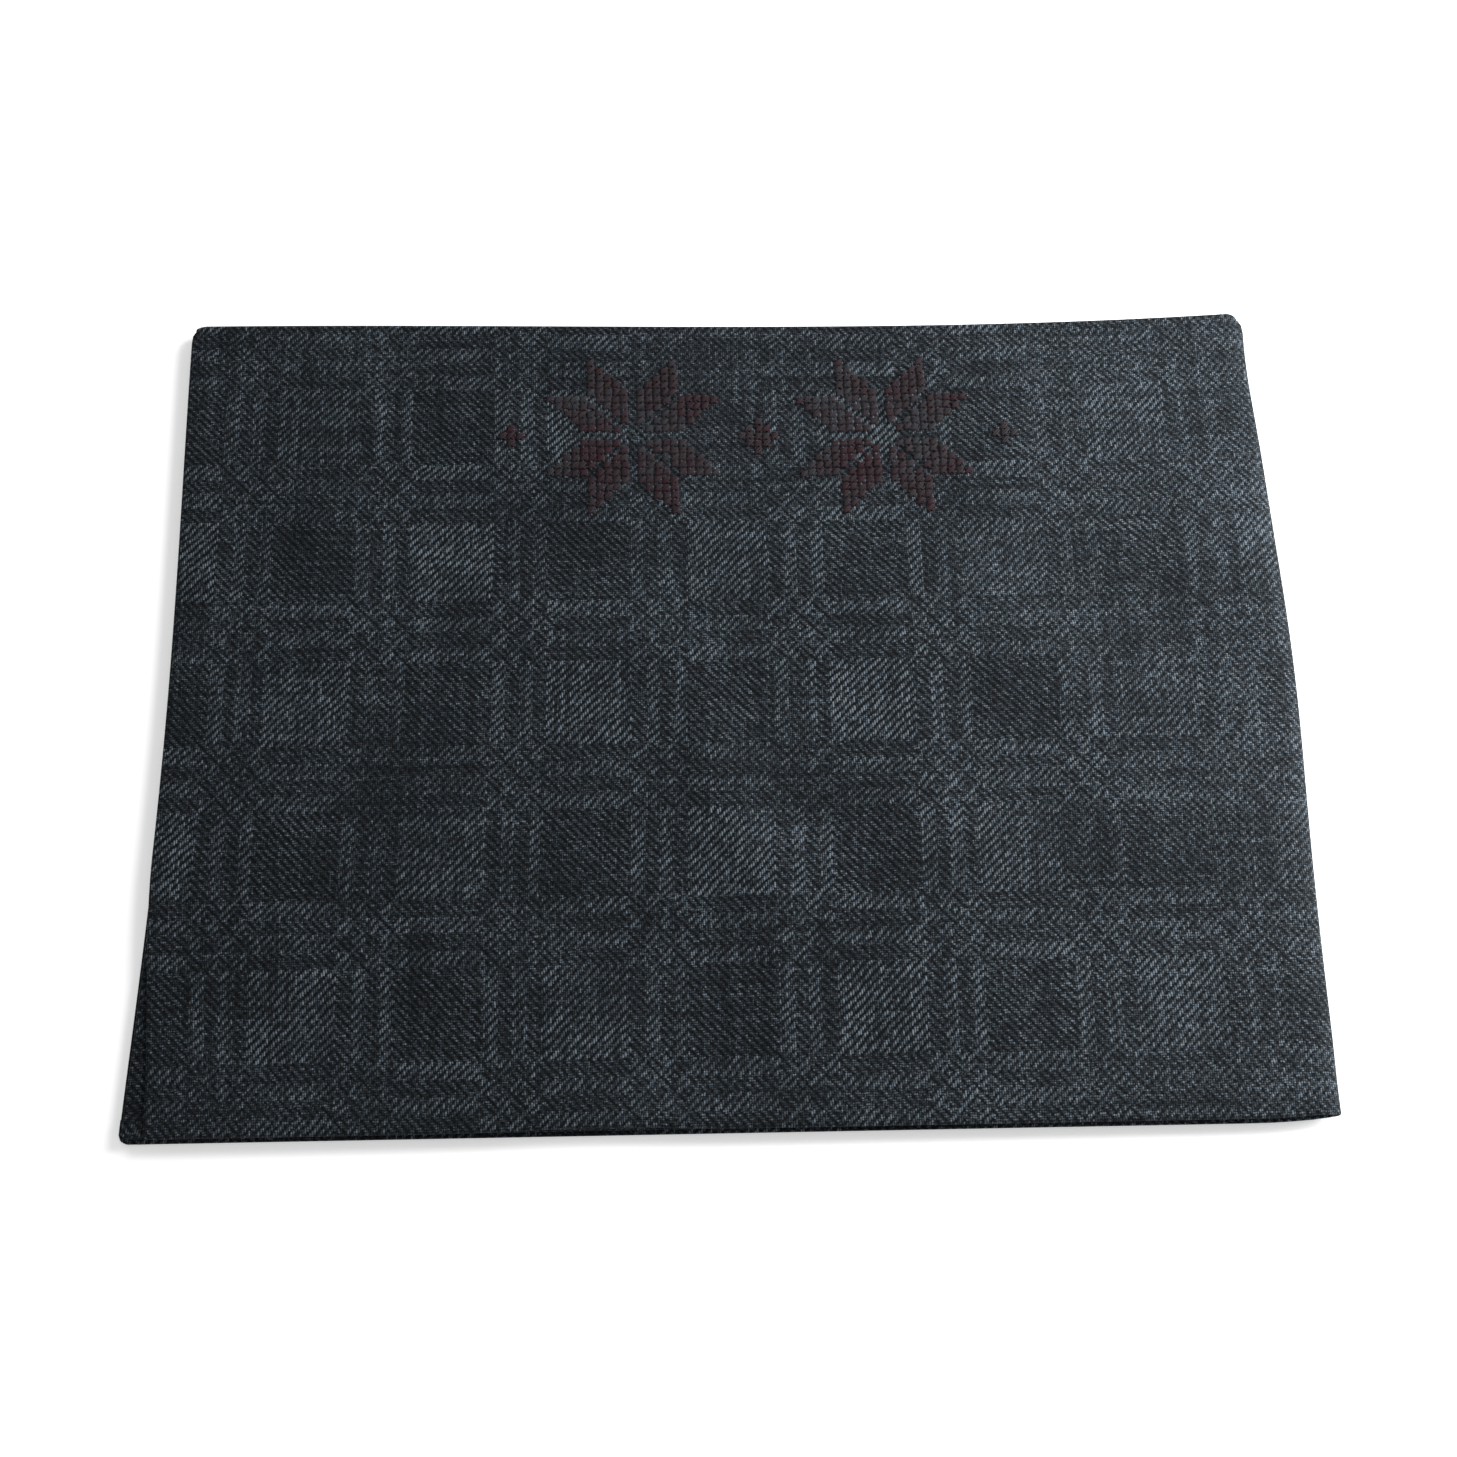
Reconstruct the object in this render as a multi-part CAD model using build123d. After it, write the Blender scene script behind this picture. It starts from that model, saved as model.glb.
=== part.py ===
from build123d import *
import os

# A hemmed damask linen cloth, folded in four and laid flat as a mat, with a band of cross-stitch.
# The cloth is one piece of weaving. It is split into nodes where it folds and where its hems are turned.
# Millimetres. +X runs along the long side to the spine fold, +Y to the back folds, +Z up.
# The origin is the middle of the underside.

# Driving dimensions
mat_width = 400.0            # open left edge to the outside of the spine fold
mat_depth = 300.0            # open front edge to the outside of the back folds
cloth_thickness = 0.55
hem_width = 8.0
hem_gap = 0.1                # between the two hems that lie on each other inside a pair of leaves
half_gap = 0.2               # between the lower and the upper pair of leaves
spine_bulge = 8.0            # how far the outer spine fold stands out past the leaves
spine_hem_gap = 0.25         # between the hems of the outer and the inner spine fold, at their furthest out
spine_clearance = 0.1        # between the spine folds and the upper leaves, which turn away from them

# How far each leaf's open edges lie in from the outermost one
setbacks = {
    "top_leaf": 1.2,
    "upper_inner_leaf": 2.0,
    "lower_inner_leaf": 1.5,
    "bottom_leaf": 0.0,
}

# Hemming stitches
stitch_pitch = 9.0
stitch_width = 0.5
stitch_reach = 1.2           # from the hem's inner edge out over the leaf

# Cross-stitch band on the top leaf
cross_pitch = 3.05           # four threads of the weave
cross_gap = 0.15             # between neighbouring crosses
thread_width = 0.9
thread_height = 0.4
star_arm = 5                 # crosses along each side of a star's rhombs
star_spacing = 93.0          # middle of one star to the middle of the other
end_diamond_spacing = 45.0   # middle of a star to the middle of the diamond outside it
band_from_left = 213.5       # open left edge to the middle of the band
band_from_back = 47.0        # back fold to the middle of the band
middle_diamond_arm = 2
end_diamond_arm = 1

# Heights, from the underside up. A hem is three plies: the leaf and two turned on to its wrong side.
hem_height = 3 * cloth_thickness
pair_height = 2 * hem_height + hem_gap
stack_height = 2 * pair_height + half_gap
upper_base = pair_height + half_gap
overall_height = stack_height + thread_height

# Edges
left_edge = -mat_width / 2
front_edge = -mat_depth / 2
back_edge = mat_depth / 2
spine_start = mat_width / 2 - spine_bulge
inner_spine_bulge = spine_bulge - hem_height - spine_hem_gap - 2 * cloth_thickness
back_fold_radius = pair_height / 2
back_start = back_edge - back_fold_radius

X_AXIS = (1, 0, 0)
Y_AXIS = (0, 1, 0)


def plate(x0, x1, y0, y1, z0, z1):
    """A flat rectangular piece between two corners."""
    size = Box(x1 - x0, y1 - y0, abs(z1 - z0))
    return Pos((x0 + x1) / 2, (y0 + y1) / 2, (z0 + z1) / 2) * size


def along_edge(section, middle, inward, side, length):
    """Extrude a section along an open edge. Its x runs inward and its y from right side to wrong side."""
    across = Vector(*inward).cross(Vector(0, 0, side))
    plane = Plane(origin=middle, x_dir=inward, z_dir=across)
    return extrude(plane * section, length / 2, both=True)


def hem_section():
    """Two plies turned on to the leaf, with the round turn at the edge."""
    turn = hem_height / 2
    outline = (
        ThreePointArc((turn, hem_height), (0, turn), (turn, 0))
        + Line((turn, 0), (turn, cloth_thickness))
        + Line((turn, cloth_thickness), (hem_width, cloth_thickness))
        + Line((hem_width, cloth_thickness), (hem_width, hem_height))
        + Line((hem_width, hem_height), (turn, hem_height))
    )
    return make_face(outline)


def stitch_section():
    """A hemming stitch, from the top of the hem's inner edge slanting down to the leaf."""
    outline = Polyline(
        (hem_width, hem_height),
        (hem_width, cloth_thickness),
        (hem_width + stitch_reach, cloth_thickness),
        close=True,
    )
    return make_face(outline)


def bend(centre, axis, bulge, half_height, thickness, length):
    """A half-elliptic fold that bulges along +X or +Y, extruded from its centre along the other."""
    ring = Ellipse(bulge, half_height) - Ellipse(bulge - thickness, half_height - thickness)
    ring = ring & (Pos(bulge / 2, 0) * Rectangle(bulge, 2 * half_height))
    out = Y_AXIS if axis == X_AXIS else X_AXIS
    plane = Plane(origin=centre, x_dir=out, z_dir=axis)
    return extrude(plane * ring, length)


def places(start, end, pitch):
    """Evenly spaced places between start and end, a half pitch in from both."""
    count = max(1, int((end - start) / pitch))
    step = (end - start) / count
    return [start + (i + 0.5) * step for i in range(count)]


def leaf_pieces(name, right_side, side):
    """One leaf with its front and left hems and their stitches. side is +1 if its wrong side faces up."""
    x_edge = left_edge + setbacks[name]
    y_edge = front_edge + setbacks[name]
    x_end = spine_start - (spine_clearance if right_side > pair_height else 0)
    turn = hem_height / 2
    wrong_side = right_side + side * cloth_thickness
    low, high = sorted((right_side, wrong_side))
    x_inner = x_edge + hem_width

    nodes = {name: plate(x_edge + turn, x_end, y_edge + turn, back_start, low, high)}

    front = ((x_inner + x_end) / 2, y_edge, right_side)
    nodes[name + "_front_hem"] = along_edge(hem_section(), front, Y_AXIS, side, x_end - x_inner)

    left = (x_edge, (y_edge + back_start) / 2, right_side)
    nodes[name + "_left_hem"] = along_edge(hem_section(), left, X_AXIS, side, back_start - y_edge)

    front_stitch = along_edge(stitch_section(), (0, y_edge, right_side), Y_AXIS, side, stitch_width)
    first = x_inner + stitch_reach
    nodes[name + "_front_stitches"] = Compound(
        [Pos(x, 0, 0) * front_stitch for x in places(first, x_end, stitch_pitch)]
    )

    left_stitch = along_edge(stitch_section(), (x_edge, 0, right_side), X_AXIS, side, stitch_width)
    first = y_edge + hem_width + stitch_reach
    nodes[name + "_left_stitches"] = Compound(
        [Pos(0, y, 0) * left_stitch for y in places(first, back_start, stitch_pitch)]
    )
    return nodes


def back_fold_pieces(pair, base, leaves):
    """The fold that joins a pair of leaves along the back, and the hem inside its left end."""
    x_edge = left_edge + max(setbacks[leaf] for leaf in leaves)
    x_end = spine_start - (spine_clearance if base > 0 else 0)
    centre = (x_edge, back_start, base + back_fold_radius)
    fold = bend(centre, X_AXIS, back_fold_radius, back_fold_radius, cloth_thickness, x_end - x_edge)
    inside = back_fold_radius - cloth_thickness
    hem = bend(centre, X_AXIS, inside, inside, 2 * cloth_thickness, hem_width)
    return {pair + "_back_fold": fold, pair + "_back_fold_hem": hem}


def spine_pieces():
    """The two folds that join the lower pair to the upper pair, one inside the other, with their hems."""
    middle = stack_height / 2
    ply = cloth_thickness
    y_outer = front_edge + max(setbacks["top_leaf"], setbacks["bottom_leaf"])
    y_inner = front_edge + max(setbacks["upper_inner_leaf"], setbacks["lower_inner_leaf"])
    outer = (spine_start, y_outer, middle)
    inner = (spine_start, y_inner, middle)
    inner_half = half_gap / 2 + ply
    hem_half = inner_half + 2 * ply
    hem_bulge = inner_spine_bulge + 2 * ply
    return {
        "outer_spine_fold": bend(outer, Y_AXIS, spine_bulge, middle, ply, back_edge - y_outer),
        "outer_spine_fold_hem": bend(outer, Y_AXIS, spine_bulge - ply, middle - ply, 2 * ply, hem_width),
        "inner_spine_fold": bend(inner, Y_AXIS, inner_spine_bulge, inner_half, ply, back_start - y_inner),
        "inner_spine_fold_hem": bend(inner, Y_AXIS, hem_bulge, hem_half, 2 * ply, hem_width),
    }


def star_cells(arm):
    """The crosses of an eight-pointed star of solid rhombs, as steps from its middle."""
    reach = range(-2 * arm, 2 * arm + 1)
    cells = []
    for i in reach:
        for j in reach:
            long_side, short_side = max(abs(i), abs(j)), min(abs(i), abs(j))
            if 1 <= short_side <= arm and 1 <= long_side - short_side <= arm:
                cells.append((i, j))
    return cells


def diamond_cells(arm):
    """The crosses of a small diamond, as steps from its middle."""
    reach = range(-arm, arm + 1)
    return [(i, j) for i in reach for j in reach if abs(i) + abs(j) <= arm]


def stitched(cells, x, y):
    """A motif of separate crosses on the top leaf: one raised cross of thread for each cell."""
    half_leg = (cross_pitch - cross_gap) / 2 * 2 ** 0.5 - thread_width / 2
    leg = Box(2 * half_leg, thread_width, thread_height)
    cross = Rot(0, 0, 45) * leg + Rot(0, 0, -45) * leg
    z = stack_height + thread_height / 2
    return Compound([Pos(x + i * cross_pitch, y + j * cross_pitch, z) * cross for i, j in cells])


nodes = {}
nodes.update(leaf_pieces("bottom_leaf", 0, 1))
nodes.update(leaf_pieces("lower_inner_leaf", pair_height, -1))
nodes.update(leaf_pieces("upper_inner_leaf", upper_base, 1))
nodes.update(leaf_pieces("top_leaf", stack_height, -1))
nodes.update(back_fold_pieces("lower", 0, ("bottom_leaf", "lower_inner_leaf")))
nodes.update(back_fold_pieces("upper", upper_base, ("upper_inner_leaf", "top_leaf")))
nodes.update(spine_pieces())

band_x = left_edge + band_from_left
band_y = back_edge - band_from_back
half_spacing = star_spacing / 2
end_x = half_spacing + end_diamond_spacing
nodes["left_star"] = stitched(star_cells(star_arm), band_x - half_spacing, band_y)
nodes["right_star"] = stitched(star_cells(star_arm), band_x + half_spacing, band_y)
nodes["middle_diamond"] = stitched(diamond_cells(middle_diamond_arm), band_x, band_y)
nodes["left_diamond"] = stitched(diamond_cells(end_diamond_arm), band_x - end_x, band_y)
nodes["right_diamond"] = stitched(diamond_cells(end_diamond_arm), band_x + end_x, band_y)

os.makedirs("parts", exist_ok=True)
for name, shape in nodes.items():
    export_step(shape, "parts/" + name + ".step")

print("spine hinge at x", mat_width / 2, "z", overall_height / 2)
print("overall height", overall_height, "nodes", len(nodes))
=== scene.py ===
import math

import bpy
import numpy as np
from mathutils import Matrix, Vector


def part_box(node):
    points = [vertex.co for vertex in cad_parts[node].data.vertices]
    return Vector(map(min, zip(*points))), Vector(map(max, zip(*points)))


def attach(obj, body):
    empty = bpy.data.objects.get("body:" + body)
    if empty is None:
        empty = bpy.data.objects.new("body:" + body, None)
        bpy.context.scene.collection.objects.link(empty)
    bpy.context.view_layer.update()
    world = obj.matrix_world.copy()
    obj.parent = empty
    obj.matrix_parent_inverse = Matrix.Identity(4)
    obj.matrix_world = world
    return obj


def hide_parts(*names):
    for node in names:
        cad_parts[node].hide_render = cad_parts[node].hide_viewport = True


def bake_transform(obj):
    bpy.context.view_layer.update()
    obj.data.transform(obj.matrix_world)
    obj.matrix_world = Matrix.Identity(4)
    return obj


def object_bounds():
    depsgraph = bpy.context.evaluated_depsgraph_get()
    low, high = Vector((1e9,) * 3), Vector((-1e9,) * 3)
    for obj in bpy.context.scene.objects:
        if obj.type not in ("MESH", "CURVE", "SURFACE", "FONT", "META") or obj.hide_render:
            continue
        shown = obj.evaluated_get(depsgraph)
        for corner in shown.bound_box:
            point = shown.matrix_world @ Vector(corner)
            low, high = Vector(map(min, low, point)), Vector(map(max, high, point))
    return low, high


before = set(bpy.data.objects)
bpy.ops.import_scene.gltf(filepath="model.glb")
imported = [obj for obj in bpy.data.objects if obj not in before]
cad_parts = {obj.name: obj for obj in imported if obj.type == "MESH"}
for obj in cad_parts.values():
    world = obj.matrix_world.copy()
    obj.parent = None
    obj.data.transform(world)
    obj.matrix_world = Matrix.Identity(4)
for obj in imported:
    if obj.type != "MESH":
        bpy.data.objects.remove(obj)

cad_low, cad_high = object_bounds()


# The camera
# It hangs over the mat, a little in front of its middle, and looks down and slightly back.
camera_data = bpy.data.cameras.new("camera")
camera_data.lens = 39.84
camera_data.sensor_width = 36.0
camera = bpy.data.objects.new("camera", camera_data)
camera.location = (-0.0048, -0.1761, 0.5473)
camera.rotation_euler = (0.2931, -0.0058, -0.0165)
bpy.context.scene.collection.objects.link(camera)
bpy.context.scene.camera = camera
bpy.context.scene.view_settings.view_transform = "Standard"


# The cloth
# One piece of linen damask, hemmed all round. It is folded in half to the back, and that strip is folded
# in half again to the right, so that four leaves lie on each other. The back folds are thin and pressed
# flat, and the fold on the right, the spine, is soft and thick.
cloth_size = (0.8, 0.6)
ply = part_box("top_leaf")[1].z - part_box("top_leaf")[0].z
shown_ply = 0.96 * ply          # a hair thinner, so that plies that lie on each other stay apart
hem_turn = 1.5 * ply            # radius of a hem's finished edge
stack_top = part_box("top_leaf")[1].z
pair_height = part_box("lower_inner_leaf")[1].z
hem_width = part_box("top_leaf_left_hem")[1].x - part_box("top_leaf_left_hem")[0].x
spine_start, spine_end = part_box("outer_spine_fold")[0].x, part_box("outer_spine_fold")[1].x
spine_bulge = spine_end - spine_start
inner_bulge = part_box("inner_spine_fold")[1].x - spine_start
back_start, back_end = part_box("lower_back_fold")[0].y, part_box("lower_back_fold")[1].y
left_end, front_end = cad_low.x, cad_low.y
rounded_corners = (
    (spine_end, back_end, 0.0070),
    (left_end, back_end, 0.0062),
    (left_end, front_end, 0.0035),
)
left_of = {leaf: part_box(leaf + "_left_hem")[0].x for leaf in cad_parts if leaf.endswith("_leaf")}
front_of = {leaf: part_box(leaf + "_front_hem")[0].y for leaf in left_of}
band_low, band_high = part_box("left_diamond")[0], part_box("right_diamond")[1]
band_place = (
    (band_low.x + band_high.x) / 2 - left_of["top_leaf"],
    (band_low.y + band_high.y) / 2 - front_of["top_leaf"],
)
band_half_depth = 0.031
band_reach = ((band_high.x - band_low.x) / 2, band_half_depth)


def hem_line():
    """From the tucked-in raw edge out to the leaf: distance in from the finished edge and off the leaf."""
    straight = hem_width - 2.5 * ply
    raw_edge = 0.1
    inward, off = [], []
    for share in np.linspace(raw_edge, 1.0, 4):
        inward.append(hem_turn + share * straight)
        off.append(ply)
    for angle in np.linspace(0, math.pi, 6)[1:-1]:
        inward.append(hem_turn + straight + math.sin(angle) * ply / 2)
        off.append(ply + (1 - math.cos(angle)) * ply / 2)
    for share in np.linspace(1.0, 0.0, 4):
        inward.append(hem_turn + share * straight)
        off.append(2 * ply)
    for angle in np.linspace(0, math.pi, 8)[1:-1]:
        inward.append(hem_turn - math.sin(angle) * ply)
        off.append(ply + math.cos(angle) * ply)
    return np.array(inward), np.array(off)


def leaf_line(steps):
    """Shares of the way over a leaf from its hem to its fold, closer together near both."""
    hem_share, hem_steps = 0.05, 10
    even = np.linspace(0, 1, steps + 1)
    gathered = 0.5 - 0.5 * np.cos(math.pi * even)
    wide = 0.6 * even + 0.4 * gathered
    return np.concatenate([np.linspace(0, hem_share, hem_steps + 1)[:-1], hem_share + 0.95 * wide])


def fold_line(leaf_steps, fold_steps):
    """The way through hem, leaf, fold, leaf and hem, point by point.

    Gives the share of the way over the leaf, the place in the hem, the offset off the leaf and the angle of
    the fold.
    """
    inward, off = hem_line()
    leaf = leaf_line(leaf_steps)
    from_edge = hem_turn * (1 - leaf)
    angle = np.linspace(0, math.pi, fold_steps + 1)[1:-1]
    zero, one = np.zeros(len(angle)), np.ones(len(angle))
    share = np.concatenate([0 * inward, leaf, one, leaf[::-1], 0 * inward])
    place = np.concatenate([inward, from_edge, zero, from_edge[::-1], inward[::-1]])
    offset = np.concatenate([off, 0 * leaf, zero, 0 * leaf, off[::-1]])
    turned = np.concatenate([0 * inward, 0 * leaf, angle, 0 * leaf + math.pi, 0 * inward + math.pi])
    return share, place, offset, turned


def smooth(x):
    """A smooth step from 0 to 1."""
    x = np.clip(x, 0, 1)
    return x * x * (3 - 2 * x)


def sag(x, y):
    """How far the top leaf sinks between the hems and folds that hold it up."""
    hem_drop, hang_depth, wave_depth, spine_dip = 0.00025, 0.00070, 0.00075, 0.0010
    step_way, left_way, front_way, back_way, spine_way, dip_way = 0.003, 0.022, 0.020, 0.030, 0.040, 0.032
    from_left = x - left_of["top_leaf"] - hem_width
    from_front = y - front_of["top_leaf"] - hem_width
    drop = hem_drop * smooth(from_left / step_way) * smooth(from_front / step_way)
    hang = smooth(from_left / left_way) * smooth(from_front / front_way)
    near_back = smooth((back_end - 0.001 - y) / back_way)
    near_spine = smooth((spine_start + 0.004 - x) / spine_way)
    wave = 0.55 * np.sin(41 * x + 17 * y + 1.3) * np.cos(29 * y - 11 * x + 0.4)
    wave = wave + 0.35 * np.sin(83 * x - 31 * y + 2.1) * np.sin(67 * y + 0.7)
    ease = spine_dip * smooth((x - spine_start + 0.024) / dip_way) * smooth(from_front / front_way)
    ease = ease - wrinkle(x, y, start=(-0.026, 0.019), end=(0.018, -0.095), height=0.00115)
    ease = ease - wrinkle(x, y, start=(0.110, 0.022), end=(0.138, -0.038), height=0.00070)
    return near_back * (near_spine * (drop + hang * (hang_depth + wave_depth * wave)) + ease)


def wrinkle(x, y, start, end, height):
    """A soft ridge from start to end, highest half way and steeper on its left."""
    steep_side, gentle_side = 0.0052, 0.0105
    length = math.dist(start, end)
    way_x, way_y = (end[0] - start[0]) / length, (end[1] - start[1]) / length
    across = (x - start[0]) * way_y - (y - start[1]) * way_x
    along = (x - start[0]) * way_x + (y - start[1]) * way_y
    flank = np.where(across > 0, steep_side, gentle_side)
    return height * np.exp(-(across / flank) ** 2 - ((along / length - 0.5) / 0.45) ** 2)


def round_corner(x, y, corner_x, corner_y, radius):
    """Pull the points near a corner of the mat in to a round."""
    across, along = np.sign(corner_x), np.sign(corner_y)
    dx = np.maximum((x - corner_x) * across + radius, 0)
    dy = np.maximum((y - corner_y) * along + radius, 0)
    far = np.hypot(dx, dy) + 1e-12
    keep = np.where((dx > 0) & (dy > 0), np.maximum(dx, dy) / far, 1)
    return x - across * dx * (1 - keep), y - along * dy * (1 - keep)


def lie(x, y, z, top):
    """Where a point of the evenly folded cloth really lies. top is 1 on the top leaf and 0 on the others.

    The back and the left side bow in, and the spine bows out. At the front, the left end of the top leaf has
    slipped to the right, its edge lifts a little further along, and the tip of the spine is drawn back.
    """
    back_bow, back_slant, front_slant = 0.0036, 0.0009, 0.0009
    spine_bow, spine_pinch, spine_flare = 0.0026, 0.0015, 0.0010
    left_bow, leaf_slip = 0.0028, 0.0085
    gap_back, gap_lift, tip_right, tip_back = 0.0011, 0.0003, 0.0006, 0.0012

    z = z - top * sag(x, y)
    for corner_x, corner_y, radius in rounded_corners:
        x, y = round_corner(x, y, corner_x, corner_y, radius)
    right = np.clip((x - left_end) / (spine_end - left_end), 0, 1)
    forward = np.clip((back_end - y) / (back_end - front_end), 0, 1)
    back = (back_bow * 6.75 * right ** 2 * (1 - right) + back_slant * (1 - right)) * (1 - forward) ** 2
    spine = spine_bow * np.exp(-((forward - 0.47) / 0.21) ** 2)
    spine = spine - spine_pinch * np.exp(-((forward - 0.06) / 0.10) ** 2)
    spine = spine + spine_flare * smooth((1 - forward) / 0.1)
    left = left_bow * np.sin(math.pi * np.minimum((forward / 0.89) ** 1.3, 1.16))
    gap = top * np.exp(-((x + 0.044) / 0.030) ** 2 - ((y - front_end) / 0.012) ** 2)
    tip = np.exp(-((spine_end - x) / 0.014) ** 2 - ((y - front_end) / 0.012) ** 2)
    slip = leaf_slip * top * smooth((forward - 0.68) / 0.34) * (1 - right) ** 3
    x = x + spine * right ** 2 + left * (1 - right) ** 2 + slip + tip_right * tip
    y = y - back + gap_back * gap + tip_back * tip - front_slant * forward ** 3 * (1 - right)
    return x, y, z + gap_lift * gap


def folded_cloth():
    """Points of the cloth's middle surface, folded, and their places on the flat cloth in metres."""
    spine_line = fold_line(leaf_steps=84, fold_steps=26)
    back_line = fold_line(leaf_steps=60, fold_steps=12)
    u_share, u_place, u_off, u_turn = (values[:, None] for values in spine_line)
    v_share, v_place, v_off, v_turn = (values[None, :] for values in back_line)
    v_mix, u_mix = v_turn / math.pi, u_turn / math.pi
    left_upper = left_of["top_leaf"] * (1 - v_mix) + left_of["upper_inner_leaf"] * v_mix
    left_lower = left_of["bottom_leaf"] * (1 - v_mix) + left_of["lower_inner_leaf"] * v_mix
    left = np.where(u_turn < math.pi / 2, left_upper, left_lower)
    front_first = front_of["top_leaf"] * (1 - u_mix) + front_of["bottom_leaf"] * u_mix
    front_second = front_of["upper_inner_leaf"] * (1 - u_mix) + front_of["lower_inner_leaf"] * u_mix
    front = np.where(v_turn < math.pi / 2, front_first, front_second)

    pressed = 0.75              # how much the front hem's own plies flatten where the left hem crosses them
    crush = 1 - pressed * u_off / (2 * ply)
    depth = pair_height / 2 - ply / 2 - u_off
    y = front * (1 - v_share) + back_start * v_share + v_place + depth * np.sin(v_turn)
    height = pair_height / 2 - (depth - v_off * crush) * np.cos(v_turn)
    narrowing = (spine_bulge - inner_bulge) / (pair_height - ply)
    bulge = spine_bulge - narrowing * height
    x = left * (1 - u_share) + spine_start * u_share + u_place + bulge * np.sin(u_turn)
    z = stack_top / 2 + (stack_top / 2 - height) * np.cos(u_turn)
    top = (0.5 + 0.5 * np.cos(u_turn)) * (0.5 + 0.5 * np.cos(v_turn))

    inner_row, inner_column = 80, 40
    flat_x = path_length(x[:, inner_column], z[:, inner_column], (u_off[:, 0] > 0) & (u_turn[:, 0] < 1))
    flat_y = path_length(y[inner_row, :], height[inner_row, :], (v_off[0] > 0) & (v_turn[0] < 1))
    flat = np.stack(np.meshgrid(flat_x, flat_y, indexing="ij"), axis=-1)
    return np.stack(lie(x + 0 * y, y + 0 * x, z + 0 * x, top + 0 * x), axis=-1), flat


def path_length(first, second, hem):
    """Length along a line of points, counted from the finished edge after its first hem."""
    steps = np.hypot(np.diff(first), np.diff(second))
    length = np.concatenate([[0], np.cumsum(steps)])
    return length - length[np.count_nonzero(hem)] + hem_turn


def thick_sheet(name, middle, flat):
    """A closed mesh with a right side, a wrong side and the edges between them."""
    along = np.gradient(middle, axis=0)
    across = np.gradient(middle, axis=1)
    normal = np.cross(along, across)
    normal /= np.linalg.norm(normal, axis=-1, keepdims=True)
    rows, columns = middle.shape[:2]
    points = np.concatenate([
        (middle + normal * shown_ply / 2).reshape(-1, 3),
        (middle - normal * shown_ply / 2).reshape(-1, 3),
    ])
    index = np.arange(rows * columns).reshape(rows, columns)
    back = index + rows * columns
    faces = [quads(index), quads(back)[:, ::-1]]
    for line in (index[0], index[:, -1], index[-1][::-1], index[:, 0][::-1]):
        under = line + rows * columns
        faces.append(np.stack([line[1:], line[:-1], under[:-1], under[1:]], axis=-1))
    mesh = bpy.data.meshes.new(name)
    mesh.from_pydata(points.tolist(), [], np.concatenate(faces).tolist())
    weave = mesh.uv_layers.new(name="weave")
    corners = np.zeros(len(mesh.loops), np.int32)
    mesh.loops.foreach_get("vertex_index", corners)
    place = flat.reshape(-1, 2)[corners % (rows * columns)]
    weave.data.foreach_set("uv", place.astype(np.float32).ravel())
    right_side, wrong_side = picture_places(flat)
    bake = np.concatenate([right_side.reshape(-1, 2), wrong_side.reshape(-1, 2)])[corners]
    rim = np.repeat(np.arange(len(mesh.polygons)) >= 2 * (rows - 1) * (columns - 1), 4)
    bake[rim] = right_side.reshape(-1, 2)[corners[rim] % (rows * columns)]
    mesh.uv_layers.new(name="OFBake").data.foreach_set("uv", bake.astype(np.float32).ravel())
    mesh.polygons.foreach_set("use_smooth", np.ones(len(mesh.polygons), bool))
    mesh.update()
    return mesh


def picture_places(flat):
    """Places in a square picture of the cloth. Most of it shows the right side of the top leaf."""
    top_leaf_share, margin = 0.70, 0.01
    share = (flat - flat.min((0, 1))) / (flat.max((0, 1)) - flat.min((0, 1)))
    wide = np.interp(share, (0, 0.5, 1), (0, top_leaf_share, 1))
    right_side = margin + wide * (0.92, 0.98)
    wrong_side = (0.95, margin) + share * (0.04, 0.98)
    return right_side, wrong_side


def quads(index):
    """The faces of a grid of point numbers."""
    return np.stack(
        [index[:-1, :-1], index[1:, :-1], index[1:, 1:], index[:-1, 1:]], axis=-1
    ).reshape(-1, 4)


def calculate(tree, operation, *values):
    """One step of arithmetic in a material. A value is a number or the output of another step."""
    step = tree.nodes.new("ShaderNodeMath")
    step.operation = operation
    for socket, value in zip(step.inputs, values):
        if isinstance(value, (int, float)):
            socket.default_value = value
        else:
            tree.links.new(value, socket)
    return step.outputs[0]


def blend_values(tree, share, low, high):
    """low where share is 0, high where it is 1."""
    rise = calculate(tree, "SUBTRACT", high, low)
    return calculate(tree, "MULTIPLY_ADD", rise, share, low)


def limit(tree, value, low, high):
    """value, kept between low and high."""
    return calculate(tree, "MAXIMUM", calculate(tree, "MINIMUM", value, high), low)


def new_material(name):
    """A material, its node tree and its shader."""
    material = bpy.data.materials.new(name)
    material.use_nodes = True
    tree = material.node_tree
    return material, tree, tree.nodes["Principled BSDF"]


def noise(tree, vector, scale, detail):
    """Soft noise from 0 to 1 at a scale in cells to the metre."""
    texture = tree.nodes.new("ShaderNodeTexNoise")
    texture.inputs["Scale"].default_value = scale
    texture.inputs["Detail"].default_value = detail
    tree.links.new(vector, texture.inputs["Vector"])
    return texture.outputs["Fac"]


def streaks(tree, vector, across, along):
    """Soft noise drawn out along the threads. across and along are cells to the metre in X and in Y."""
    stretch = tree.nodes.new("ShaderNodeVectorMath")
    stretch.operation = "MULTIPLY"
    stretch.inputs[1].default_value = (across, along, 1)
    tree.links.new(vector, stretch.inputs[0])
    return noise(tree, stretch.outputs[0], 1, 1)


def chance(tree, x, y):
    """A number from 0 to 1 that stays the same for each whole x and y."""
    pair = tree.nodes.new("ShaderNodeCombineXYZ")
    tree.links.new(x, pair.inputs["X"])
    tree.links.new(y, pair.inputs["Y"])
    texture = tree.nodes.new("ShaderNodeTexWhiteNoise")
    texture.noise_dimensions = "2D"
    tree.links.new(pair.outputs[0], texture.inputs["Vector"])
    return texture.outputs["Value"]


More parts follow.
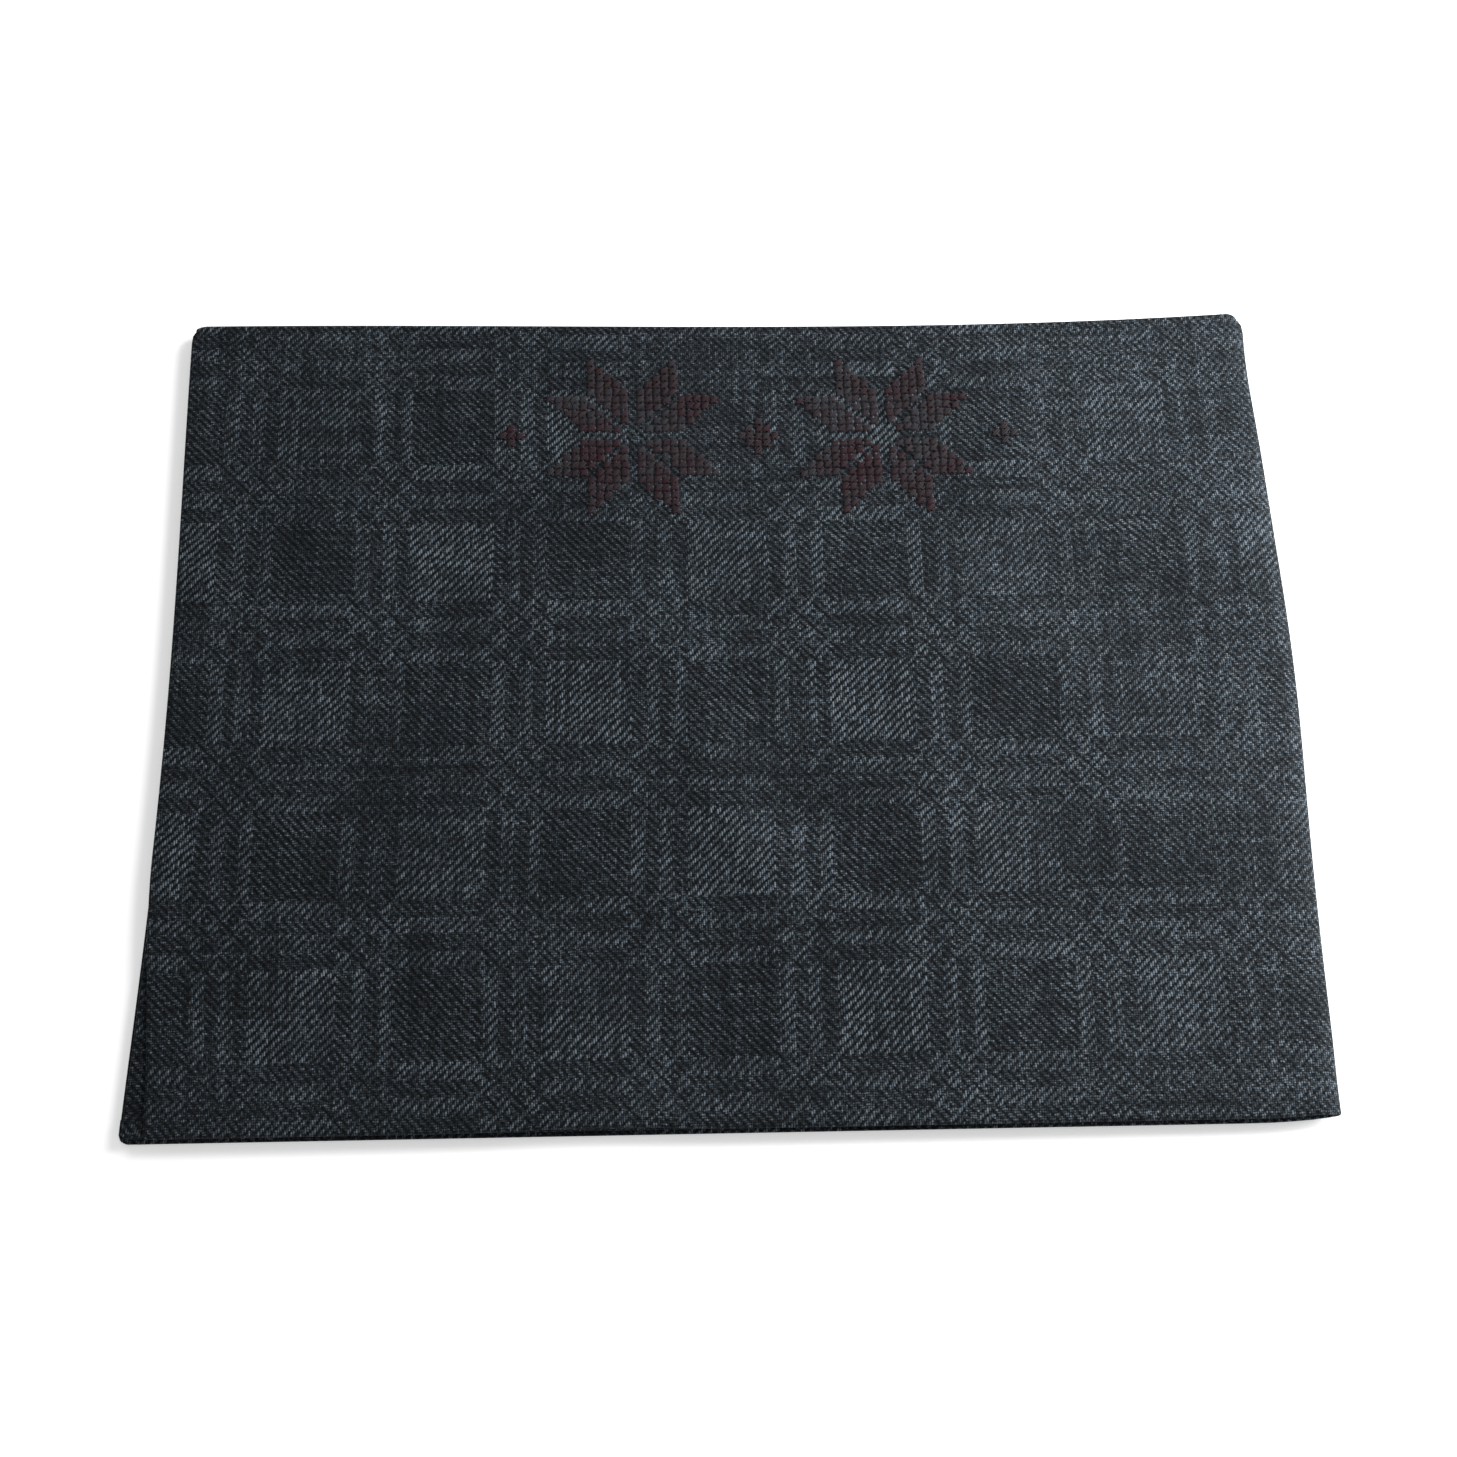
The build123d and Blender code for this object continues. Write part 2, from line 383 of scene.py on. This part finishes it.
def turns_passed(tree, thread, first, square, stripe):
    """Edges of squares and stripes before a thread, as 0 if even or 1 if odd, and whether it is in a stripe.

    Each repeat is one square and four stripes. first is the thread where the first square starts.
    """
    repeat = square + 4 * stripe
    from_first = calculate(tree, "SUBTRACT", thread, first)
    squares = calculate(tree, "FLOOR", calculate(tree, "DIVIDE", from_first, repeat))
    within = calculate(tree, "FLOORED_MODULO", from_first, repeat)
    stripes = calculate(tree, "DIVIDE", calculate(tree, "SUBTRACT", within, square), stripe)
    stripes = calculate(tree, "ADD", calculate(tree, "FLOOR", stripes), 1)
    stripes = calculate(tree, "MAXIMUM", stripes, 0)
    turned = calculate(tree, "FLOORED_MODULO", calculate(tree, "ADD", squares, stripes), 2)
    return turned, calculate(tree, "MINIMUM", stripes, 1)


def thread_round(tree, across):
    """The height of a thread across its width: 0 at its sides and 1 in its middle."""
    way = calculate(tree, "MULTIPLY", calculate(tree, "FRACT", across), math.pi)
    return calculate(tree, "SINE", way)


def float_height(tree, along, across):
    """A thread that lies over three others and under the fourth, round across its width."""
    way = calculate(tree, "MULTIPLY", calculate(tree, "FLOORED_MODULO", along, 4), math.pi / 3)
    arch = calculate(tree, "SINE", calculate(tree, "MINIMUM", way, math.pi))
    width = calculate(tree, "MULTIPLY_ADD", thread_round(tree, across), 0.55, 0.45)
    return calculate(tree, "MULTIPLY", arch, width)


def colour_ramp(tree, value, stops):
    """Colours along a value from 0 to 1."""
    ramp = tree.nodes.new("ShaderNodeValToRGB")
    while len(ramp.color_ramp.elements) < len(stops):
        ramp.color_ramp.elements.new(0.5)
    for element, (place, colour) in zip(ramp.color_ramp.elements, stops):
        element.position = place
        element.color = (*colour, 1)
    tree.links.new(value, ramp.inputs[0])
    return ramp.outputs[0]


def near(tree, value, middle, reach):
    """1 within reach of middle, falling to 0 over a short way past it."""
    fade = 0.012
    away = calculate(tree, "ABSOLUTE", calculate(tree, "SUBTRACT", value, middle))
    share = calculate(tree, "DIVIDE", calculate(tree, "SUBTRACT", reach + fade, away), fade)
    return limit(tree, share, 0, 1)


def damask():
    """Squares and stripes of two four-thread twills, one leaning right and one leaning left.

    The threads are counted from the finished edges and wander a little. light is 1 where the warp lies on top
    and 0 where the weft does, and comes nearer to a half where the cloth is worn.
    """
    material, tree, shader = new_material("blue_grey_damask")
    warp_pitch, weft_pitch = 0.0007575, 0.000775
    uv_map = tree.nodes.new("ShaderNodeUVMap")
    uv_map.uv_map = "weave"
    place = uv_map.outputs[0]
    axes = tree.nodes.new("ShaderNodeSeparateXYZ")
    tree.links.new(place, axes.inputs[0])
    flat_x, flat_y = axes.outputs["X"], axes.outputs["Y"]
    thread_drift, thread_stray = 0.9, 0.45
    drift = calculate(tree, "MULTIPLY_ADD", noise(tree, place, 110, 2), 2 * thread_drift, -thread_drift)
    stray = calculate(tree, "MULTIPLY_ADD", noise(tree, place, 620, 1), 2 * thread_stray, -thread_stray)
    warp = calculate(tree, "ADD", calculate(tree, "DIVIDE", flat_x, warp_pitch), drift)
    weft = calculate(tree, "DIVIDE", flat_y, weft_pitch)
    weft = calculate(tree, "ADD", calculate(tree, "SUBTRACT", weft, drift), stray)
    warp_thread, weft_thread = calculate(tree, "FLOOR", warp), calculate(tree, "FLOOR", weft)

    # Which twill lies on top, and how clearly
    least_crisp, stripe_wear = 0.35, 0.28
    warp_turns, warp_stripe = turns_passed(tree, warp_thread, first=44.6, square=40, stripe=6.5)
    weft_turns, weft_stripe = turns_passed(tree, weft_thread, first=29.5, square=40, stripe=7.5)
    differ = calculate(tree, "ABSOLUTE", calculate(tree, "SUBTRACT", warp_turns, weft_turns))
    crisp = calculate(tree, "MULTIPLY_ADD", noise(tree, place, 13, 2), 2.6, -0.35)
    crisp = limit(tree, crisp, least_crisp, 1)
    from_spine = calculate(tree, "SUBTRACT", flat_x, cloth_size[0] / 2)
    from_spine = calculate(tree, "ABSOLUTE", from_spine)
    rubbed = calculate(tree, "MINIMUM", calculate(tree, "MULTIPLY_ADD", from_spine, 4, 0.4), 1)
    crisp = calculate(tree, "MULTIPLY", crisp, rubbed)
    stripe = calculate(tree, "MAXIMUM", warp_stripe, weft_stripe)
    crisp = calculate(tree, "MULTIPLY", crisp, calculate(tree, "MULTIPLY_ADD", stripe, -stripe_wear, 1))
    light = calculate(tree, "MULTIPLY_ADD", calculate(tree, "SUBTRACT", 0.5, differ), crisp, 0.5)

    # The floats of both twills, and the knot where a warp and a weft thread cross
    warp_way = calculate(tree, "SUBTRACT", weft, warp_thread)
    weft_way = calculate(tree, "ADD", warp, weft_thread)
    warp_float = float_height(tree, warp_way, warp)
    weft_float = float_height(tree, weft_way, weft)
    float_rise = blend_values(tree, light, weft_float, warp_float)
    knot = calculate(tree, "MULTIPLY", thread_round(tree, warp), thread_round(tree, weft))

    # Every float is a little lighter or darker than the next, and a few knots stand out: raised in the relief
    # and given a painted glint
    warp_step = calculate(tree, "FLOOR", calculate(tree, "DIVIDE", warp_way, 4))
    weft_step = calculate(tree, "FLOOR", calculate(tree, "DIVIDE", weft_way, 4))
    warp_luck = chance(tree, warp_thread, warp_step)
    weft_luck = chance(tree, weft_step, weft_thread)
    luck = blend_values(tree, light, weft_luck, warp_luck)
    knot_rise_and_glint = calculate(tree, "POWER", chance(tree, warp_thread, weft_thread), 3)
    height = calculate(tree, "MULTIPLY_ADD", calculate(tree, "MULTIPLY", knot, knot_rise_and_glint), 0.5, float_rise)

    # Slow changes of tone, streaks along the threads, and painted light: the cloth is painted lighter towards
    # the spine, standing in for the lamps on the right
    cloudy = noise(tree, place, 30, 4)
    fuzz = noise(tree, place, 1700, 2)
    warp_streak = streaks(tree, place, 700, 9)
    weft_streak = streaks(tree, place, 7, 650)
    tone = calculate(tree, "ADD", calculate(tree, "ADD", warp_streak, weft_streak), cloudy)
    tone = calculate(tree, "SUBTRACT", tone, 0.42)
    # painted light: the tone rises towards the spine, as if lit from the right
    tone = calculate(tree, "MULTIPLY_ADD", calculate(tree, "MINIMUM", from_spine, 0.28), -0.85, tone)

    # Colour, with painted light: the raised middles of the floats are painted light and the gaps between
    # threads painted dark as shade, and the warp, which is glossier than the weft, carries a stronger painted
    # sheen
    weft_painted_sheen, warp_painted_sheen = 0.50, 0.98
    painted_sheen_and_tone = blend_values(tree, light, weft_painted_sheen, warp_painted_sheen)
    painted_sheen_and_tone = calculate(tree, "MULTIPLY", painted_sheen_and_tone, calculate(tree, "MULTIPLY_ADD", luck, 0.75, 0.42))
    # painted shade and highlight: the colour follows the height of each float, times its painted sheen
    bright = calculate(tree, "MULTIPLY", float_rise, painted_sheen_and_tone)
    # painted glint on a few raised knots
    bright = calculate(tree, "MULTIPLY_ADD", calculate(tree, "MULTIPLY", knot, knot_rise_and_glint), 0.75, bright)
    bright = calculate(tree, "MULTIPLY", bright, tone)
    bright = calculate(tree, "MULTIPLY_ADD", calculate(tree, "SUBTRACT", fuzz, 0.5), 0.5, bright)
    stops = [
        (0.0, (0.0015, 0.0019, 0.0024)),
        (0.30, (0.0140, 0.0176, 0.0212)),
        (0.65, (0.0500, 0.0635, 0.0760)),
        (1.0, (0.1250, 0.1500, 0.1750)),
    ]
    tree.links.new(colour_ramp(tree, bright, stops), shader.inputs["Base Color"])
    shader.inputs["Roughness"].default_value = 0.75
    shader.inputs["Specular IOR Level"].default_value = 0.07
    shader.inputs["Sheen Weight"].default_value = 0.03
    shader.inputs["Sheen Roughness"].default_value = 0.4
    shader.inputs["Sheen Tint"].default_value = (0.75, 0.85, 1.0, 1.0)

    # Relief: threads, fuzz, and puckers round the embroidery
    height = calculate(tree, "MULTIPLY_ADD", fuzz, 0.3, height)
    band_x = near(tree, flat_x, band_place[0], band_reach[0])
    band_y = near(tree, flat_y, band_place[1], band_reach[1])
    puckered = calculate(tree, "MULTIPLY", calculate(tree, "MULTIPLY", band_x, band_y), 3.2)
    pucker = calculate(tree, "MULTIPLY", noise(tree, place, 140, 1), puckered)
    bump = tree.nodes.new("ShaderNodeBump")
    bump.inputs["Strength"].default_value = 1.0
    bump.inputs["Distance"].default_value = 0.00030
    tree.links.new(calculate(tree, "ADD", height, pucker), bump.inputs["Height"])
    tree.links.new(bump.outputs[0], shader.inputs["Normal"])
    return material


middle, flat = folded_cloth()
cloth = bpy.data.objects.new("folded_cloth", thick_sheet("folded_cloth", middle, flat))
bpy.context.scene.collection.objects.link(cloth)
cloth.data.materials.append(damask())
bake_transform(cloth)
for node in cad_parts:
    if "leaf" in node and "stitches" not in node or "fold" in node:
        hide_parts(node)


# The hemming stitches
# Dark sewing thread, worked by hand from the wrong side. Each stitch slants over the inner edge of the hem
# and catches a few threads of the leaf. On the top leaf a small prick of it shows on the right side.
stitch_radius = 0.00016


def strand(points, radius):
    """A thin round thread through a row of points, closed at both ends: its points and faces."""
    sides, end_taper = 6, 0.35
    points = np.asarray(points, float)
    way = np.gradient(points, axis=0)
    way /= np.linalg.norm(way, axis=1, keepdims=True)
    side = np.cross(way, (0, 0, 1))
    short = np.linalg.norm(side, axis=1) < 1e-6
    side[short] = (1, 0, 0)
    side /= np.linalg.norm(side, axis=1, keepdims=True)
    up = np.cross(side, way)
    taper = np.ones(len(points))
    taper[0] = taper[-1] = end_taper
    rings = []
    for step in range(sides):
        angle = 2 * math.pi * step / sides
        off = (math.cos(angle) * side + math.sin(angle) * up) * (radius * taper)[:, None]
        rings.append(points + off)
    rings = np.stack(rings, axis=1)
    count = len(points)
    faces = []
    for ring in range(count - 1):
        for step in range(sides):
            after = (step + 1) % sides
            low, high = ring * sides, (ring + 1) * sides
            faces.append((low + step, low + after, high + after, high + step))
    faces.append(tuple(range(sides))[::-1])
    faces.append(tuple(range((count - 1) * sides, count * sides)))
    return rings.reshape(-1, 3), faces


def joined(name, parts, wear=None):
    """One mesh of many strands. wear gives each strand a number that its material reads."""
    points, faces, worn, start = [], [], [], 0
    for number, (part_points, part_faces) in enumerate(parts):
        points.append(part_points)
        faces.extend(tuple(start + corner for corner in face) for face in part_faces)
        start += len(part_points)
        if wear is not None:
            worn.extend([wear[number]] * len(part_points))
    mesh = bpy.data.meshes.new(name)
    mesh.from_pydata(np.concatenate(points).tolist(), [], faces)
    mesh.polygons.foreach_set("use_smooth", np.ones(len(mesh.polygons), bool))
    if wear is not None:
        mesh.attributes.new("wear", "FLOAT", "POINT").data.foreach_set("value", worn)
    mesh.update()
    piece = bpy.data.objects.new(name, mesh)
    bpy.context.scene.collection.objects.link(piece)
    return piece


def stitch_places(node, axis):
    """The middle of each stitch of a hem along X or Y."""
    values = np.unique([round(v.co[axis], 6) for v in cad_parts[node].data.vertices])
    groups = np.split(values, np.nonzero(np.diff(values) > 0.002)[0] + 1)
    return [group.mean() for group in groups]


def hem_stitches(leaf, hem):
    """The stitches along one hem of one leaf.

    A stitch's path is given as how far in from the hem's inner edge, how far along it, and how many plies up
    from the right side.
    """
    node = leaf + "_" + hem + "_stitches"
    low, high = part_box(leaf)
    wrong_side_up = leaf in ("bottom_leaf", "upper_inner_leaf")
    right_side = low.z if wrong_side_up else high.z
    side = 1 if wrong_side_up else -1
    top = 1.0 if leaf == "top_leaf" else 0.0
    edge = (left_of if hem == "left" else front_of)[leaf] + hem_width
    strands = []
    for number, middle in enumerate(stitch_places(node, 1 if hem == "left" else 0)):
        slant = 0.0011 + 0.0002 * math.sin(2.4 * number)
        path = [
            (-0.0009, -slant, 2.9),
            (-0.0004, -0.6 * slant, 3.25),
            (0.0002, 0, 3.1),
            (0.0007, 0.7 * slant, 1.6),
            (0.0010, slant, 0.8),
        ]
        if leaf != "bottom_leaf":
            prick = -0.12 if leaf == "top_leaf" else 0.12
            path += [
                (0.0013, slant + 0.0002, prick),
                (0.0017, slant + 0.0003, prick),
                (0.0020, slant + 0.0004, 0.6),
            ]
        points = []
        for inward, along, plies in path:
            x, y = (edge + inward, middle + along) if hem == "left" else (middle + along, edge + inward)
            points.append(lie(x, y, right_side + side * plies * ply, top))
        strands.append(strand(points, stitch_radius))
    piece = joined("thread_" + node, strands)
    piece.data.materials.append(hem_thread)
    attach(piece, "upper_half" if leaf in ("top_leaf", "upper_inner_leaf") else "lower_half")
    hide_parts(node)
    return piece


def sewing_thread():
    """Matt dark cotton with a fine twist."""
    material, tree, shader = new_material("dark_sewing_thread")
    place = tree.nodes.new("ShaderNodeTexCoord")
    twist = noise(tree, place.outputs["Object"], 2500, 1)
    stops = [(0.3, (0.012, 0.014, 0.018)), (0.7, (0.045, 0.052, 0.064))]
    tree.links.new(colour_ramp(tree, twist, stops), shader.inputs["Base Color"])
    shader.inputs["Roughness"].default_value = 0.7
    bump = tree.nodes.new("ShaderNodeBump")
    bump.inputs["Strength"].default_value = 0.5
    bump.inputs["Distance"].default_value = 0.00005
    tree.links.new(twist, bump.inputs["Height"])
    tree.links.new(bump.outputs[0], shader.inputs["Normal"])
    return material


hem_thread = sewing_thread()
stitched_hems = [hem_stitches(leaf, hem) for leaf in left_of for hem in ("front", "left")]


# The embroidery
# Cross-stitch in stranded cotton, faded from washing. Each cross covers four threads of the weave each way,
# and its upper leg always leans the same way. Two strands lie side by side in every leg.
cross_pitch = 0.00305
strand_radius = 0.00036
cross_stray = 0.00020
strand_stray = 0.00007
motifs = ("left_diamond", "left_star", "middle_diamond", "right_star", "right_diamond")


def cross_cells(node):
    """The crosses of a motif, as whole steps from its middle, read from where its CAD solids stand."""
    low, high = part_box(node)
    middle = (low + high) / 2
    cells = {
        (round((corner.co.x - middle.x) / cross_pitch), round((corner.co.y - middle.y) / cross_pitch))
        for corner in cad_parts[node].data.vertices
    }
    return middle, sorted(cells)


def leg(x, y, lean, rise, side, dice):
    """One strand of one leg of a cross: up out of the cloth at one corner, over, and down at the other."""
    leg_reach, strand_gap, diagonal = 0.93, 0.9, 0.7071
    half = cross_pitch / 2 * leg_reach
    points = []
    for share in (-1.0, -0.8, -0.4, 0.0, 0.4, 0.8, 1.0):
        arch = 1 - share ** 4
        spread = side * strand_radius * strand_gap * arch
        px = x + half * share - lean * spread * diagonal
        py = y + lean * half * share + spread * diagonal
        lift = strand_radius * (0.6 + rise) * arch - strand_radius * 0.9 * share ** 8
        wobble = dice.normal(0, strand_stray, 2)
        points.append((px + wobble[0], py + wobble[1], lift))
    points = np.array(points)
    lx, ly, lz = lie(points[:, 0], points[:, 1], points[:, 2] + stack_top, 1.0)
    return strand(np.stack([lx, ly, lz], axis=1), strand_radius * (1 + dice.normal(0, 0.12)))


def worked_motif(node, seed):
    """A motif of crosses, each a little different."""
    dice = np.random.default_rng(seed)
    middle, cells = cross_cells(node)
    parts, wear = [], []
    for i, j in cells:
        x = middle.x + i * cross_pitch + dice.normal(0, cross_stray)
        y = middle.y + j * cross_pitch + dice.normal(0, cross_stray)
        patch = 0.5 + 0.5 * math.sin(130 * x + 45 * y) * math.cos(95 * y - 60 * x + 1.0)
        faded = float(np.clip(0.75 * patch + dice.normal(0.1, 0.16), 0, 1))
        for lean, rise in ((-1, 0.0), (1, 0.75)):
            for side in (-1, 1):
                parts.append(leg(x, y, lean, rise, side, dice))
                wear.append(faded)
    piece = joined("worked_" + node, parts, wear)
    piece.data.materials.append(faded_cotton)
    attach(piece, "upper_half")
    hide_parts(node)
    return piece


def wine_cotton():
    """Wine-red stranded cotton, washed out to grey-brown where it is worn."""
    material, tree, shader = new_material("faded_wine_cotton")
    worn = tree.nodes.new("ShaderNodeAttribute")
    worn.attribute_name = "wear"
    place = tree.nodes.new("ShaderNodeTexCoord")
    fibre = noise(tree, place.outputs["Object"], 3200, 2)
    mottled = calculate(tree, "SUBTRACT", fibre, 0.5)
    value = calculate(tree, "MULTIPLY_ADD", mottled, 0.7, worn.outputs["Fac"])
    stops = [
        (0.0, (0.0215, 0.0078, 0.0108)),
        (0.40, (0.0190, 0.0112, 0.0138)),
        (1.0, (0.0215, 0.0218, 0.0252)),
    ]
    tree.links.new(colour_ramp(tree, value, stops), shader.inputs["Base Color"])
    shader.inputs["Roughness"].default_value = 0.65
    shader.inputs["Specular IOR Level"].default_value = 0.15
    bump = tree.nodes.new("ShaderNodeBump")
    bump.inputs["Strength"].default_value = 0.6
    bump.inputs["Distance"].default_value = 0.00008
    tree.links.new(fibre, bump.inputs["Height"])
    tree.links.new(bump.outputs[0], shader.inputs["Normal"])
    return material


faded_cotton = wine_cotton()
worked = [worked_motif(node, seed) for seed, node in enumerate(motifs)]


# The floor and the light
# A plain pale table top under soft daylight from all round, with a lamp high at the back right and another
# low on the right, which gives the soft shadow on the left and the light edge along the spine.
floor_reach, floor_height = 3, -0.0002
floor_corners = [
    (across * floor_reach, along * floor_reach, floor_height)
    for across, along in ((-1, -1), (1, -1), (1, 1), (-1, 1))
]
floor_mesh = bpy.data.meshes.new("floor")
floor_mesh.from_pydata(floor_corners, [], [(0, 1, 2, 3)])
floor = bpy.data.objects.new("floor", floor_mesh)
bpy.context.scene.collection.objects.link(floor)
pale, pale_tree, pale_shader = new_material("pale_floor")
pale_shader.inputs["Base Color"].default_value = (0.92, 0.92, 0.92, 1)
pale_shader.inputs["Roughness"].default_value = 0.9
pale_shader.inputs["Emission Color"].default_value = (1, 1, 1, 1)
pale_shader.inputs["Emission Strength"].default_value = 0.30
floor_mesh.materials.append(pale)

world = bpy.data.worlds.new("daylight")
world.use_nodes = True
world.node_tree.nodes["Background"].inputs["Color"].default_value = (1, 1, 1, 1)
world.node_tree.nodes["Background"].inputs["Strength"].default_value = 0.52
bpy.context.scene.world = world


def lamp(name, location, size, power):
    """A broad soft lamp that shines at the middle of the mat."""
    data = bpy.data.lights.new(name, "AREA")
    data.size = size
    data.energy = power
    light = bpy.data.objects.new(name, data)
    light.location = location
    light.rotation_euler = (-Vector(location)).to_track_quat("-Z", "Y").to_euler()
    bpy.context.scene.collection.objects.link(light)


lamp("lamp_right", location=(0.42, 0.28, 0.50), size=0.26, power=5.6)
lamp("lamp_low", location=(0.72, 0.05, 0.12), size=0.25, power=7)
